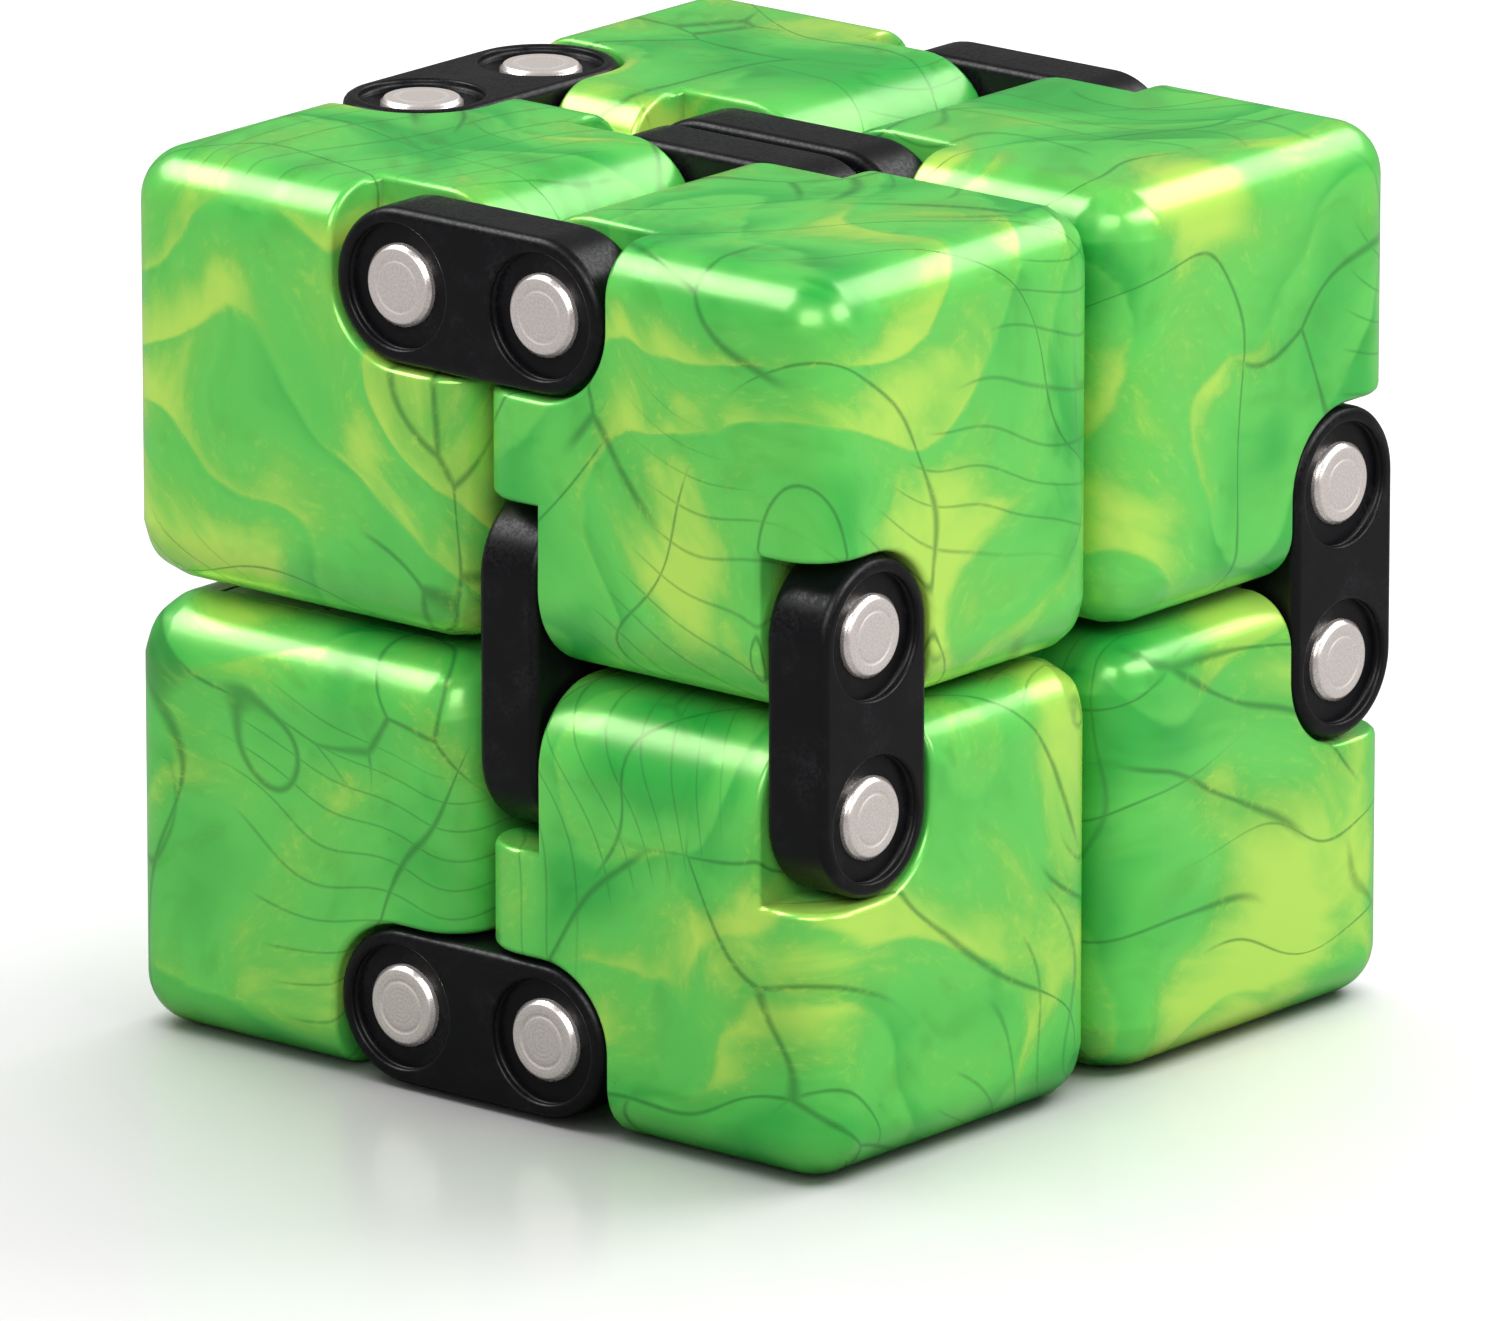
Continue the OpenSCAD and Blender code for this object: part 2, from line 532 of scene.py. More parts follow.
def marbled_pearl_group():
    """Currents of pearl in green plastic, with fine dark veins and contour lines."""
    group, given = new_group(
        "Marbled pearl",
        "ShaderNodeTree",
        [
            ("Vector", "NodeSocketVector", None),
            ("Deep", "NodeSocketColor", None),
            ("Body", "NodeSocketColor", None),
            ("Light", "NodeSocketColor", None),
            ("Gleam", "NodeSocketColor", None),
            ("Vein", "NodeSocketColor", None),
            ("Swirl Size", "NodeSocketFloat", 13.0),
            ("Vein Spacing", "NodeSocketFloat", 5.2),
            ("Vein Width", "NodeSocketFloat", 0.11),
            ("Contour Spacing", "NodeSocketFloat", 1.6),
        ],
        [
            ("Colour", "NodeSocketColor"),
            ("Pearl", "NodeSocketFloat"),
            ("Height", "NodeSocketFloat"),
        ],
    )
    place = given["Vector"]
    swirl = maths(group, "DIVIDE", 1.0, given["Swirl Size"], label="Swirls a mm")
    half_turn = (-0.5, -0.5, -0.5)

    # the currents are bent twice, widely and then tightly
    wide = noise(group, place, times(group, swirl, 0.8), 1.0, colour=True, label="Wide bend")
    wide = vectors(group, "SCALE", vectors(group, "ADD", wide, half_turn), scale=13.0)
    bent = vectors(group, "ADD", place, wide, label="Bent")
    tight = noise(group, bent, times(group, swirl, 2.1), 1.0, colour=True, label="Tight bend")
    tight = vectors(group, "SCALE", vectors(group, "ADD", tight, half_turn), scale=3.4)
    curled = vectors(group, "ADD", bent, tight, label="Curled")

    current = noise(group, curled, swirl, 2.0, 0.45, label="Currents")
    drawn_out = vectors(group, "MULTIPLY", curled, (1.0, 0.16, 1.0), label="Drawn out")
    streaks = noise(group, drawn_out, times(group, swirl, 9.0), 2.0, 0.55, label="Streaks")
    flow = maths(group, "MULTIPLY_ADD", maths(group, "SUBTRACT", streaks, 0.5), 0.11, current)
    # each current lies over the next like a fold of silk, with one sharp side
    sheets = noise(group, bent, times(group, swirl, 0.7), 0.0, label="Sheets")
    rise = maths(group, "MULTIPLY_ADD", flow, 1.5, times(group, sheets, 6.0))
    rise = maths(group, "FRACT", rise)
    fold = times(group, rise, fade(group, rise, 1.0, 0.90), label="Folds")
    flow = maths(group, "MULTIPLY_ADD", maths(group, "SUBTRACT", fold, 0.45), 0.13, flow)

    deep = fade(group, flow, 0.50, 0.37, "Deep currents")
    light = fade(group, flow, 0.49, 0.64, "Light currents")
    gleam = fade(group, flow, 0.57, 0.70, "Gathered pearl")
    colour = blend(group, deep, given["Body"], given["Deep"])
    colour = blend(group, light, colour, given["Light"])
    colour = blend(group, gleam, colour, given["Gleam"])

    # long lines that flow with the currents, and come and go
    def lines_across(vector, direction, spacing, width, label):
        """Evenly spaced thin lines, bent as the vector is."""
        along = node(
            group,
            "ShaderNodeVectorMath",
            {0: vector, 1: direction},
            label,
            operation="DOT_PRODUCT",
        ).outputs["Value"]
        place_in_gap = maths(group, "FRACT", maths(group, "DIVIDE", along, spacing))
        off = maths(group, "ABSOLUTE", maths(group, "SUBTRACT", place_in_gap, 0.5))
        return fade(group, times(group, off, spacing), width, 0.0, label)

    patches = noise(group, place, times(group, swirl, 0.9), 0.0, label="Where veins show")
    uneven = noise(group, bent, times(group, swirl, 3.0), 0.0, label="Uneven width")
    width = times(group, given["Vein Width"], fade(group, uneven, 0.3, 0.7, low=0.6, high=1.3))
    flowing = lines_across(bent, (0.72, 0.52, 0.46), given["Vein Spacing"], width, "Flowing veins")
    flowing = times(group, flowing, fade(group, patches, 0.36, 0.46))

    # branching lines where two currents meet
    cells = maths(group, "DIVIDE", 1.0, given["Vein Spacing"])
    long_cells = vectors(group, "MULTIPLY", bent, (0.62, 0.22, 0.36), label="Long cells")
    meeting = node(
        group,
        "ShaderNodeTexVoronoi",
        {"Vector": long_cells, "Scale": cells, "Randomness": 1.0},
        "Meeting currents",
        feature="DISTANCE_TO_EDGE",
    ).outputs["Distance"]
    branching = fade(group, meeting, times(group, cells, width), 0.0)
    branching = times(group, branching, fade(group, patches, 0.54, 0.44), label="Branching veins"
    )
    shadow = times(group, fade(group, meeting, 0.16, 0.0),
        fade(group, patches, 0.54, 0.42),
        label="Beside the veins",
    )

    # families of fine contour lines, in a few patches
    spread = noise(
        group, vectors(group, "ADD", place, (31.0, 17.0, 5.0)), times(group, swirl, 0.9)
    )
    contours = lines_across(
        bent, (-0.42, 0.38, 0.82), given["Contour Spacing"], given["Vein Width"], "Contour lines"
    )
    contours = times(group, contours, fade(group, spread, 0.47, 0.55, "Where contours show")
    )

    lines = maths(group, "MAXIMUM", flowing, branching)
    lines = maths(group, "MAXIMUM", lines, times(group, contours, 0.7), label="Lines")
    colour = blend(group, times(group, shadow, 0.35), colour, given["Deep"])
    colour = blend(group, times(group, lines, 0.62), colour, given["Vein"])
    flecks = noise(group, curled, 1.9, 3.0, 0.65, label="Pearl flecks")
    colour = blend(
        group,
        times(group, fade(group, flecks, 0.50, 0.75), times(group, light, 0.4)),
        colour,
        given["Gleam"],
        label="Flecked",
    )
    pearl = maths(group, "MAXIMUM", light, fade(group, streaks, 0.35, 0.8), label="Pearl")
    height = maths(
        group, "MULTIPLY_ADD", streaks, 0.35, times(group, lines, -0.5), label="Height"
    )
    hand_out(group, {"Colour": colour, "Pearl": pearl, "Height": height})
    return group


def principled(name, **values):
    """A new material, with constant values set on its shader's own sockets."""
    material = bpy.data.materials.new(name)
    material.use_nodes = True
    shader = material.node_tree.nodes["Principled BSDF"]
    for title, value in values.items():
        shader.inputs[title.replace("_", " ")].default_value = value
    return material, material.node_tree, shader


def placed_millimetres(tree, shift=(0, 0, 0), turn=(0, 0, 0)):
    """Object coordinates in millimetres, shifted and turned."""
    place = node(tree, "ShaderNodeTexCoord").outputs["Object"]
    return node(
        tree,
        "ShaderNodeMapping",
        {"Vector": place, "Location": shift, "Rotation": turn, "Scale": (1000, 1000, 1000)},
        "Millimetres",
    ).outputs["Vector"]


def placed_group(tree, group, sockets):
    made = node(tree, "ShaderNodeGroup", None, group.name, node_tree=group)
    for title, value in sockets.items():
        if isinstance(value, bpy.types.NodeSocket):
            tree.links.new(value, made.inputs[title])
        else:
            made.inputs[title].default_value = value
    return made.outputs


def rgba(colour):
    return (*colour, 1.0)


# the part of the marbling that each cubelet is cut from: a shift in millimetres and a turn
CUT_FROM = {
    "top_front_left": ((-222.2, -151.5, -60.4), (2.47, -2.56, -0.62)),
    "top_front_right": ((-250.0, 219.0, -196.0), (-2.28, -2.79, 0.68)),
    "top_back_right": ((-151.0, 171.0, -63.0), (-3.06, -0.26, 0.22)),
    "top_back_left": ((184.0, -145.0, -264.0), (0.68, 1.59, 2.9)),
    "bottom_front_left": ((44.7, -287.7, -111.3), (-0.14, 0.3, 2.46)),
    "bottom_front_right": ((-148.0, -201.2, -254.4), (2.17, 2.12, 1.4)),
    "bottom_back_right": ((-90.2, 115.2, 53.8), (-2.72, -0.98, -3.23)),
    "bottom_back_left": ((-106.0, -209.0, 91.0), (-2.65, 0.22, -0.83)),
}


def marbled_plastic(place, settings):
    """Pearly green plastic. Each cubelet is cut from its own part of the marbling."""
    material, tree, shader = principled(
        "marbled_" + place,
        Coat_Weight=settings.gloss,
        Coat_Roughness=0.2,
        IOR=1.47,
        Specular_IOR_Level=0.85,
        Specular_Tint=(1.0, 0.98, 0.5, 1.0),
    )
    where = placed_millimetres(tree, *CUT_FROM[place])
    marble = placed_group(
        tree,
        bpy.data.node_groups["Marbled pearl"],
        {
            "Vector": where,
            "Deep": rgba(settings.deep),
            "Body": rgba(settings.body),
            "Light": rgba(settings.light),
            "Gleam": rgba(settings.gleam),
            "Vein": rgba(settings.vein),
            "Swirl Size": settings.swirl / MM,
        },
    )
    grain = placed_group(
        tree,
        bpy.data.node_groups["Fine grain"],
        {"Vector": where, "Grain Size": 0.35, "Ripple Size": 2.6, "Ripple": 0.9},
    )
    height = maths(tree, "MULTIPLY_ADD", grain["Height"], 0.6, marble["Height"])
    bump = node(
        tree, "ShaderNodeBump", {"Strength": 0.22, "Distance": 0.06 * MM, "Height": height}
    ).outputs["Normal"]
    rough = fade(tree, marble["Pearl"], 0.0, 1.0, "Roughness", 0.36, 0.27)
    tree.links.new(marble["Colour"], shader.inputs["Base Color"])
    sheen = fade(tree, marble["Pearl"], 0.0, 1.0, "Sheen of the pearl", 0.06, 0.28)
    tree.links.new(sheen, shader.inputs["Metallic"])
    tree.links.new(rough, shader.inputs["Roughness"])
    tree.links.new(bump, shader.inputs["Normal"])
    return material


def satin_black(settings):
    """Black moulded plastic, satin, with a slightly rubbed grain."""
    material, tree, shader = principled("satin_black", IOR=1.45, Specular_IOR_Level=0.22)
    where = placed_millimetres(tree)
    grain = placed_group(
        tree,
        bpy.data.node_groups["Fine grain"],
        {"Vector": where, "Grain Size": 0.16, "Ripple Size": 1.8, "Ripple": 0.5},
    )
    black = rgba(settings.black)
    rubbed = tuple(min(1, 2.1 * v + 0.004) for v in settings.black) + (1.0,)
    wear = noise(tree, where, 0.45, 3.0, 0.6, label="Rubbed patches")
    wear = times(tree, fade(tree, wear, 0.45, 0.75), grain["Mask"])
    tree.links.new(blend(tree, wear, black, rubbed), shader.inputs["Base Color"])
    rough = fade(tree, grain["Mask"], 0.0, 1.0, "Roughness", 0.30, 0.42)
    tree.links.new(rough, shader.inputs["Roughness"])
    bump = node(
        tree,
        "ShaderNodeBump",
        {"Strength": 0.25, "Distance": 0.03 * MM, "Height": grain["Height"]},
    ).outputs["Normal"]
    tree.links.new(bump, shader.inputs["Normal"])
    return material


def turned_nickel(settings):
    """Turned and plated metal, with rings round the pin's axis."""
    material, tree, shader = principled("turned_nickel", Metallic=0.85)
    where = placed_millimetres(tree)
    radius = node(
        tree, "ShaderNodeAttribute", None, "Distance from the axis", attribute_name="lathe_radius"
    ).outputs["Fac"]
    rings = maths(tree, "SINE", times(tree, radius, 58.0), label="Turning rings")
    grain = placed_group(
        tree,
        bpy.data.node_groups["Fine grain"],
        {"Vector": where, "Grain Size": 0.12, "Ripple Size": 0.9, "Ripple": 0.7},
    )
    nickel = rgba(settings.nickel)
    dull = tuple(0.78 * v for v in settings.nickel) + (1.0,)
    tree.links.new(
        blend(tree, times(tree, grain["Mask"], 0.7), nickel, dull),
        shader.inputs["Base Color"],
    )
    edge = fade(tree, radius, 0.86, 0.96, "Bright edge", 0.44, 0.22)
    tree.links.new(
        maths(tree, "MULTIPLY_ADD", grain["Mask"], 0.06, edge), shader.inputs["Roughness"]
    )
    height = maths(tree, "MULTIPLY_ADD", rings, 0.22, grain["Height"])
    bump = node(
        tree, "ShaderNodeBump", {"Strength": 0.35, "Distance": 0.03 * MM, "Height": height}
    ).outputs["Normal"]
    tree.links.new(bump, shader.inputs["Normal"])
    return material


def floor_paper(settings):
    """Smooth pale card."""
    material, tree, shader = principled(
        "pale_floor", Roughness=0.2, IOR=1.3
    )
    fibre = noise(tree, placed_millimetres(tree), 0.05, 3.0, 0.6, label="Fibre")
    shade = tuple(0.985 * v for v in settings.floor) + (1.0,)
    card = blend(tree, fibre, rgba(settings.floor), shade)
    # the floor is darker as the cube's gloss mirrors it, or the gloss would turn milky
    mirrored = node(tree, "ShaderNodeLightPath").outputs["Is Glossy Ray"]
    dim = tuple(0.35 * v for v in settings.floor) + (1.0,)
    tree.links.new(blend(tree, mirrored, card, dim), shader.inputs["Base Color"])
    return material


# ---------------------------------------------------------------- cubelets


def rounded_block(cubelet, settings):
    """The cubelet's outside: round about its two pins, and softer along the other edges."""
    bm = bmesh.new()
    bmesh.ops.create_cube(bm, size=2 * cubelet.half)
    bmesh.ops.translate(bm, verts=bm.verts, vec=cubelet.centre)
    layer = weights(bm)
    rolling_axis, rolling_sides = cubelet.rolling_edge()
    for edge in bm.edges:
        offset = (edge.verts[0].co + edge.verts[1].co) / 2 - cubelet.centre
        along = short_axis([abs(v) for v in offset])
        radius = settings.edge_radius
        if along == rolling_axis and all(
            offset[i] * rolling_sides[i] > 0 for i in range(3) if i != along
        ):
            radius = settings.rolling_radius
        for axis, pin in cubelet.pins:
            if along == axis and all(
                offset[i] * cubelet.side(pin, i) > 0 for i in others(axis)
            ):
                radius = HINGE_RADIUS
        edge[layer] = radius / HINGE_RADIUS
    made = made_object(cubelet.name + "_cubelet", bm)
    soften(made, HINGE_RADIUS, settings.steps)
    bake(made)
    return made


def pocket_outline(cubelet, axis, pin, radius):
    """Round about the pin on the inner side, and open past the hinge's edge."""
    u, v = others(axis)
    far = HINGE_RADIUS + OVERSHOOT
    turns = [math.pi / 2 * i / 20 for i in range(21)]
    points = [(-radius * math.cos(t), -radius * math.sin(t)) for t in turns]
    points += [(far, -radius), (far, far), (-radius, far)]
    return [
        (pin[u] + cubelet.side(pin, u) * a, pin[v] + cubelet.side(pin, v) * b) for a, b in points
    ]


def circle(pin, axis, radius, count=40):
    u, v = others(axis)
    turns = [2 * math.pi * i / count for i in range(count)]
    return [(pin[u] + radius * math.cos(t), pin[v] + radius * math.sin(t)) for t in turns]


def seat_outline(cubelet, settings):
    """The cover's seat, which leaves the corner with the link pocket free."""
    axis = cubelet.cover_axis
    pin = next(at for along, at in cubelet.pins if along == axis)
    u, v = others(axis)
    width = cubelet.half - settings.rolling_radius
    offset = cubelet.half - HINGE_RADIUS
    step = offset - (PLATE_RADIUS + settings.pocket_gap) - settings.pocket_wall
    points = [(-width, -width), (width, -width), (width, step)]
    points += [(step, step), (step, width), (-width, width)]
    return [
        (
            cubelet.centre[u] + cubelet.side(pin, u) * a,
            cubelet.centre[v] + cubelet.side(pin, v) * b,
        )
        for a, b in points
    ]


def near_outline(u, v, outline, reach):
    """Whether a point lies on an outline."""
    here = Vector((u, v))
    for i, corner in enumerate(outline):
        start, end = Vector(corner), Vector(outline[(i + 1) % len(outline)])
        run = end - start
        along = max(0.0, min(1.0, (here - start).dot(run) / run.length_squared))
        if (here - start - along * run).length < reach:
            return True
    return False


def pocket_cutter(cubelet, settings):
    """Both hinges' link pockets, at both ends of each pin."""
    bm = bmesh.new()
    depth = PLATE_SINK + PLATE_THICKNESS + settings.pocket_gap
    for axis, pin in cubelet.pins:
        outline = pocket_outline(cubelet, axis, pin, PLATE_RADIUS + settings.pocket_gap)
        for end in (-1, 1):
            inner = cubelet.centre[axis] + end * (cubelet.half - depth)
            outer = cubelet.centre[axis] + end * (cubelet.half + OVERSHOOT)
            prism(bm, outline, axis, min(inner, outer), max(inner, outer))
    return made_object("pockets", bm)


def seat_cutter(cubelet, settings):
    bm = bmesh.new()
    axis = cubelet.cover_axis
    face = cubelet.centre[axis] + cubelet.cover_side * cubelet.half
    ends = (
        face + cubelet.cover_side * OVERSHOOT,
        face - cubelet.cover_side * settings.cover_thickness,
    )
    prism(bm, seat_outline(cubelet, settings), axis, min(ends), max(ends))
    return made_object("seat", bm)


def bore_cutter(cubelet):
    bm = bmesh.new()
    for axis, pin in cubelet.pins:
        middle = cubelet.centre[axis]
        outline = circle(pin, axis, PIN_RADIUS + BORE_CLEARANCE)
        prism(bm, outline, axis, middle - cubelet.half, middle + cubelet.half)
    return made_object("bores", bm)


def hollow_cutter(cubelet, settings):
    """The space inside, round the solid plastic that each hinge needs."""
    axis, side, half = cubelet.cover_axis, cubelet.cover_side, cubelet.half
    width = half - settings.rolling_radius - settings.cover_ledge
    low = cubelet.centre - Vector((width, width, width))
    high = cubelet.centre + Vector((width, width, width))
    mouth, roof = side * (half + 0.5 * MM), -side * (half - settings.roof)
    low[axis] = cubelet.centre[axis] + min(mouth, roof)
    high[axis] = cubelet.centre[axis] + max(mouth, roof)
    bm = bmesh.new()
    block(bm, low, high)
    hollow = made_object("hollow", bm)
    far = half + OVERSHOOT
    offset = half - HINGE_RADIUS
    bar = offset - PIN_RADIUS - BORE_CLEARANCE - settings.boss_wall
    end_block = offset - (PLATE_RADIUS + settings.pocket_gap) - settings.pocket_wall
    depth = PLATE_SINK + PLATE_THICKNESS + settings.pocket_gap
    kept = []
    for along, pin in cubelet.pins:
        spans = [(bar, -far, far)]
        spans += [(end_block, half - depth - settings.pocket_wall, far)]
        spans += [(end_block, -far, depth + settings.pocket_wall - half)]
        for start, first, last in spans:
            near, away = [0, 0, 0], [0, 0, 0]
            near[along], away[along] = first, last
            for i in others(along):
                near[i] = min(cubelet.side(pin, i) * start, cubelet.side(pin, i) * far)
                away[i] = max(cubelet.side(pin, i) * start, cubelet.side(pin, i) * far)
            bm = bmesh.new()
            block(bm, cubelet.centre + Vector(near), cubelet.centre + Vector(away))
            kept.append(made_object("kept", bm))
    subtract(hollow, kept)
    bake(hollow)
    remove(kept)
    return hollow


def moulded_shell(cubelet, settings):
    """One cubelet's shell, with soft rims round its pockets and a hollow inside."""
    shell = rounded_block(cubelet, settings)
    cutters = [pocket_cutter(cubelet, settings), seat_cutter(cubelet, settings)]
    subtract(shell, cutters)
    bake(shell)
    remove(cutters)
    bm = bmesh.new()
    bm.from_mesh(shell.data)
    bmesh.ops.remove_doubles(bm, verts=bm.verts, dist=WELD)
    bmesh.ops.dissolve_degenerate(bm, dist=WELD, edges=bm.edges)
    layer = weights(bm)
    u, v = others(cubelet.cover_axis)
    seat = seat_outline(cubelet, settings)
    for edge in bm.edges:
        edge[layer] = 0
        if is_sharp(edge) and edge.is_convex:
            on_seat = all(near_outline(p.co[u], p.co[v], seat, 0.01 * MM) for p in edge.verts)
            edge[layer] = settings.cover_rim / settings.rim_radius if on_seat else 1.0
    bm.to_mesh(shell.data)
    bm.free()
    smooth(shell)
    soften(shell, settings.rim_radius, 3, "MITER_ARC")
    cutters = [bore_cutter(cubelet), hollow_cutter(cubelet, settings)]
    subtract(shell, cutters)
    level_shading(shell)
    bake(shell)
    remove(cutters)
    return shell


def cover(cubelet, settings):
    """The inset cover that closes a shell, from its CAD shape with softened edges."""
    bm = bmesh.new()
    bm.from_mesh(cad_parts[cubelet.name + "_lid"].data)
    bmesh.ops.remove_doubles(bm, verts=bm.verts, dist=WELD)
    bmesh.ops.dissolve_limit(
        bm, angle_limit=math.radians(1), verts=bm.verts, edges=bm.edges
    )
    layer = weights(bm)
    for edge in bm.edges:
        edge[layer] = 1.0 if is_sharp(edge) and edge.is_convex else 0.0
    made = made_object(cubelet.name + "_cover", bm)
    made.data.materials.clear()
    smooth(made)
    soften(made, settings.cover_rim, 2)
    level_shading(made)
    bake(made)
    return made


# ---------------------------------------------------------------- links


def socket_key(tree, title):
    """The identifier that a modifier knows a tree's input by."""
    return next(
        item.identifier
        for item in tree.interface.items_tree
        if item.item_type == "SOCKET" and item.in_out == "INPUT" and item.name == title
    )


def run_tree(name, tree, values):
    """A new object with the tree's modifier, its inputs set before it is evaluated."""
    made = bpy.data.objects.new(name, bpy.data.meshes.new(name))
    modifier = made.modifiers.new(tree.name, "NODES")
    modifier.node_group = tree
    for title, value in values.items():
        modifier[socket_key(tree, title)] = value
    bpy.context.scene.collection.objects.link(made)
    return made


def place_copies(tree, given, geometry):
    """Stands a copy of the geometry, drawn along Z, on each of two points."""
    ends = node(
        tree,
        "GeometryNodeMeshLine",
        {"Count": 2, "Start Location": given["First"], "Offset": given["Second"]},
        mode="END_POINTS",
    ).outputs["Mesh"]
    return node(tree, "GeometryNodeInstanceOnPoints", {"Points": ends, "Instance": geometry})


def finish_tree(tree, geometry, material):
    solid = node(tree, "GeometryNodeRealizeInstances", {"Geometry": geometry}).outputs["Geometry"]
    coated = node(
        tree, "GeometryNodeSetMaterial", {"Geometry": solid, "Material": material}
    ).outputs["Geometry"]
    hand_out(tree, {"Geometry": coated})


def compare(tree, first, second, operation="GREATER_THAN"):
    return node(
        tree, "FunctionNodeCompare", {0: first, 1: second}, data_type="FLOAT", operation=operation
    ).outputs["Result"]


def shared_inputs():
    return [
        ("First", "NodeSocketVector", None),
        ("Second", "NodeSocketVector", None),
        ("Axis", "NodeSocketVector", None),
        ("Radius", "NodeSocketFloat", 0.0),
        ("Sides", "NodeSocketInt", 64),
        ("Material", "NodeSocketMaterial", None),
    ]


def pin_pair_tree():
    """Two turned pins: a cylinder whose ends get a chamfer and a shallow turned ring."""
    tree, given = new_group(
        "Pin pair",
        "GeometryNodeTree",
        shared_inputs()
        + [
            ("Length", "NodeSocketFloat", 0.0),
            ("Chamfer", "NodeSocketFloat", 0.0),
            ("Ring Depth", "NodeSocketFloat", 0.0),
        ],
        [("Geometry", "NodeSocketGeometry")],
    )
    blank = node(
        tree,
        "GeometryNodeMeshCylinder",
        {
            "Vertices": given["Sides"],
            "Side Segments": 3,
            "Fill Segments": 24,
            "Radius": given["Radius"],
            "Depth": given["Length"],
        },
        "Blank",
        fill_type="TRIANGLE_FAN",
    ).outputs["Mesh"]
    place = node(tree, "GeometryNodeInputPosition").outputs["Position"]
    flat = vectors(tree, "MULTIPLY", place, (1, 1, 0))
    radius = vectors(tree, "LENGTH", flat)
    radius = maths(tree, "DIVIDE", radius, given["Radius"], label="Radius share")
    blank = node(
        tree,
        "GeometryNodeStoreNamedAttribute",
        {"Geometry": blank, "Name": "lathe_radius", "Value": radius},
        "Keep the radius",
        data_type="FLOAT",
        domain="POINT",
    ).outputs["Geometry"]
    height = node(tree, "ShaderNodeSeparateXYZ", {"Vector": place}).outputs["Z"]
    share_of = maths(tree, "DIVIDE", given["Chamfer"], given["Radius"])
    chamfer = fade(tree, radius, maths(tree, "SUBTRACT", 1.0, share_of), 1.0, "Chamfer")
    ring = maths(tree, "ABSOLUTE", maths(tree, "SUBTRACT", radius, 0.62))
    ring = fade(tree, ring, 0.07, 0.0, "Turned ring")
    drop = maths(
        tree,
        "MULTIPLY_ADD",
        ring,
        given["Ring Depth"],
        times(tree, chamfer, given["Chamfer"]),
        label="Drop",
    )
    half = times(tree, given["Length"], 0.49)
    on_end = compare(tree, maths(tree, "ABSOLUTE", height), half)
    down = times(tree, maths(tree, "SIGN", height), times(tree, drop, -1.0))
    move = node(tree, "ShaderNodeCombineXYZ", {"Z": down}).outputs["Vector"]
    turned = node(
        tree,
        "GeometryNodeSetPosition",
        {"Geometry": blank, "Selection": on_end, "Offset": move},
        "Turned ends",
    ).outputs["Geometry"]
    turned = node(tree, "GeometryNodeSetShadeSmooth", {"Geometry": turned}).outputs["Geometry"]
    stood = place_copies(tree, given, turned)
    aim = node(tree, "FunctionNodeAlignRotationToVector", {"Vector": given["Axis"]}, axis="Z")
    tree.links.new(aim.outputs["Rotation"], stood.inputs["Rotation"])
    finish_tree(tree, stood.outputs["Instances"], given["Material"])
    return tree


